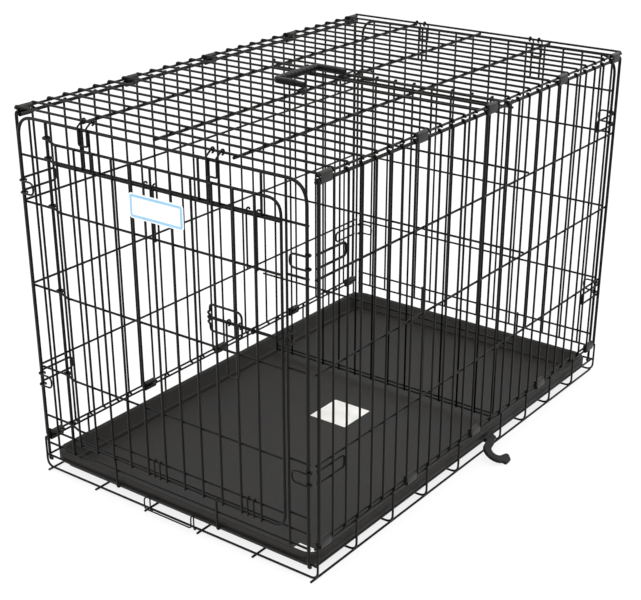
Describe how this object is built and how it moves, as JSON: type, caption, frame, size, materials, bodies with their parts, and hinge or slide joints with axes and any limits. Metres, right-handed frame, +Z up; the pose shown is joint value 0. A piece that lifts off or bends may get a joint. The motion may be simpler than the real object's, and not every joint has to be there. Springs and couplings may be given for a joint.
{
  "type": "folding wire dog crate",
  "caption": "Black folding wire dog crate with a hinged front door, slide bolt, hooked end panels, a divider panel, a removable tray and a flip carry handle.",
  "frame": {"origin": "centre of the footprint, on the floor", "axes": "+Z up, -Y the door end, +X the right long side seen from the door"},
  "size_m": [0.6318, 0.9446, 0.6464],
  "materials": {
    "wire": "black semi-gloss coating",
    "clip": "black satin",
    "black_plastic": "matte",
    "tray_plastic": "fine grain",
    "plate": "smooth",
    "paper": "plain printed sheet"
  },
  "bodies": {
    "crate": {"floor_basket": "wire", "left_side_panel": "wire", "right_side_panel": "wire", "top_panel": "wire", "top_clip_left_1": "clip", "top_clip_left_2": "clip", "top_clip_left_3": "clip", "top_clip_left_4": "clip", "top_clip_left_5": "clip", "top_clip_right_1": "clip", "top_clip_right_2": "clip", "top_clip_right_3": "clip", "top_clip_right_4": "clip", "top_clip_right_5": "clip", "foot_clip_left_1": "clip", "foot_clip_left_2": "clip", "foot_clip_left_3": "clip", "foot_clip_left_4": "clip", "foot_clip_left_5": "clip", "foot_clip_right_1": "clip", "foot_clip_right_2": "clip", "foot_clip_right_3": "clip", "foot_clip_right_4": "clip", "foot_clip_right_5": "clip"},
    "front_end": {"front_panel": "wire", "front_foot_1": "wire", "front_foot_2": "wire", "front_foot_3": "wire", "front_foot_4": "wire", "bolt_keeper": "wire"},
    "back_end": {"back_panel": "wire", "back_foot_1": "wire", "back_foot_2": "wire", "back_foot_3": "wire", "back_foot_4": "wire"},
    "door": {"door": "wire", "door_label": "plate"},
    "bolt": {"slide_bolt": "wire"},
    "drop_loop": {"drop_loop": "wire"},
    "divider": {"divider_panel": "wire"},
    "tray": {"tray": "tray_plastic", "tray_sheet": "paper", "tray_sticker": "paper"},
    "tray_keeper": {"tray_keeper": "wire"},
    "handle": {"carry_handle": "black_plastic"},
    "side_hook": {"side_hook": "black_plastic"},
    "top_catch_front_left": {"top_catch_front_left": "wire"},
    "top_catch_front_right": {"top_catch_front_right": "wire"},
    "top_catch_back_left": {"top_catch_back_left": "wire"},
    "top_catch_back_right": {"top_catch_back_right": "wire"},
    "corner_loop_front_left_upper": {"corner_loop_front_left_upper": "wire"},
    "corner_loop_front_left_lower": {"corner_loop_front_left_lower": "wire"},
    "corner_loop_front_right_upper": {"corner_loop_front_right_upper": "wire"},
    "corner_loop_front_right_lower": {"corner_loop_front_right_lower": "wire"},
    "corner_loop_back_left_upper": {"corner_loop_back_left_upper": "wire"},
    "corner_loop_back_left_lower": {"corner_loop_back_left_lower": "wire"},
    "corner_loop_back_right_upper": {"corner_loop_back_right_upper": "wire"},
    "corner_loop_back_right_lower": {"corner_loop_back_right_lower": "wire"}
  },
  "joints": [
    {"name": "front_end_fold", "type": "hinge", "parent": "crate", "child": "front_end", "pos_m": [-0.0241, -0.44367, 0.028], "axis": [-1, 0, 0], "range_deg": [0, 28]},
    {"name": "back_end_fold", "type": "hinge", "parent": "crate", "child": "back_end", "pos_m": [-0.0241, 0.46056, 0.028], "axis": [1, 0, 0], "range_deg": [0, 28]},
    {"name": "door_hinge", "type": "hinge", "parent": "front_end", "child": "door", "pos_m": [-0.2391, -0.44856, 0.32], "axis": [0, 0, 1], "range_deg": [-150, 0]},
    {"name": "bolt_slide", "type": "slide", "parent": "door", "child": "bolt", "axis": [1, 0, 0], "range_m": [0, 0.017]},
    {"name": "drop_loop_swing", "type": "hinge", "parent": "bolt", "child": "drop_loop", "pos_m": [0.136, -0.46563, 0.395], "axis": [1, 0, 0], "range_deg": [-150, 0]},
    {"name": "divider_lift", "type": "slide", "parent": "crate", "child": "divider", "axis": [0, 0, 1], "range_m": [0, 0.015]},
    {"name": "tray_lift", "type": "slide", "parent": "crate", "child": "tray", "axis": [0, 0, -1], "range_m": [-0.006, 0]},
    {"name": "tray_keeper_tilt", "type": "hinge", "parent": "crate", "child": "tray_keeper", "pos_m": [-0.0241, -0.44367, 0.0057], "axis": [1, 0, 0], "range_deg": [0, 30]},
    {"name": "handle_flip", "type": "hinge", "parent": "crate", "child": "handle", "pos_m": [-0.0241, 0.00194, 0.6291], "axis": [0, 1, 0], "range_deg": [0, 150]},
    {"name": "side_hook_swing", "type": "hinge", "parent": "crate", "child": "side_hook", "pos_m": [0.262, 0.05894, 0.028], "axis": [0, -1, 0], "range_deg": [0, 90]},
    {"name": "top_catch_front_left_swing", "type": "hinge", "parent": "crate", "child": "top_catch_front_left", "pos_m": [-0.1571, -0.43926, 0.6329], "axis": [1, 0, 0], "range_deg": [-150, 0]},
    {"name": "top_catch_front_right_swing", "type": "hinge", "parent": "crate", "child": "top_catch_front_right", "pos_m": [0.0924, -0.43926, 0.6329], "axis": [1, 0, 0], "range_deg": [-150, 0]},
    {"name": "top_catch_back_left_swing", "type": "hinge", "parent": "crate", "child": "top_catch_back_left", "pos_m": [-0.1571, 0.45614, 0.6329], "axis": [-1, 0, 0], "range_deg": [-150, 0]},
    {"name": "top_catch_back_right_swing", "type": "hinge", "parent": "crate", "child": "top_catch_back_right", "pos_m": [0.0924, 0.45614, 0.6329], "axis": [-1, 0, 0], "range_deg": [-150, 0]},
    {"name": "corner_loop_front_left_upper_turn", "type": "hinge", "parent": "front_end", "child": "corner_loop_front_left_upper", "pos_m": [-0.301, -0.44856, 0.51], "axis": [0, 0, -1], "range_deg": [0, 85]},
    {"name": "corner_loop_front_left_lower_turn", "type": "hinge", "parent": "front_end", "child": "corner_loop_front_left_lower", "pos_m": [-0.301, -0.44856, 0.177], "axis": [0, 0, -1], "range_deg": [0, 85]},
    {"name": "corner_loop_front_right_upper_turn", "type": "hinge", "parent": "front_end", "child": "corner_loop_front_right_upper", "pos_m": [0.2528, -0.44856, 0.51], "axis": [0, 0, 1], "range_deg": [0, 85]},
    {"name": "corner_loop_front_right_lower_turn", "type": "hinge", "parent": "front_end", "child": "corner_loop_front_right_lower", "pos_m": [0.2528, -0.44856, 0.177], "axis": [0, 0, 1], "range_deg": [0, 85]},
    {"name": "corner_loop_back_left_upper_turn", "type": "hinge", "parent": "back_end", "child": "corner_loop_back_left_upper", "pos_m": [-0.301, 0.46544, 0.51], "axis": [0, 0, 1], "range_deg": [0, 85]},
    {"name": "corner_loop_back_left_lower_turn", "type": "hinge", "parent": "back_end", "child": "corner_loop_back_left_lower", "pos_m": [-0.301, 0.46544, 0.177], "axis": [0, 0, 1], "range_deg": [0, 85]},
    {"name": "corner_loop_back_right_upper_turn", "type": "hinge", "parent": "back_end", "child": "corner_loop_back_right_upper", "pos_m": [0.2528, 0.46544, 0.51], "axis": [0, 0, -1], "range_deg": [0, 85]},
    {"name": "corner_loop_back_right_lower_turn", "type": "hinge", "parent": "back_end", "child": "corner_loop_back_right_lower", "pos_m": [0.2528, 0.46544, 0.177], "axis": [0, 0, -1], "range_deg": [0, 85]}
  ]
}
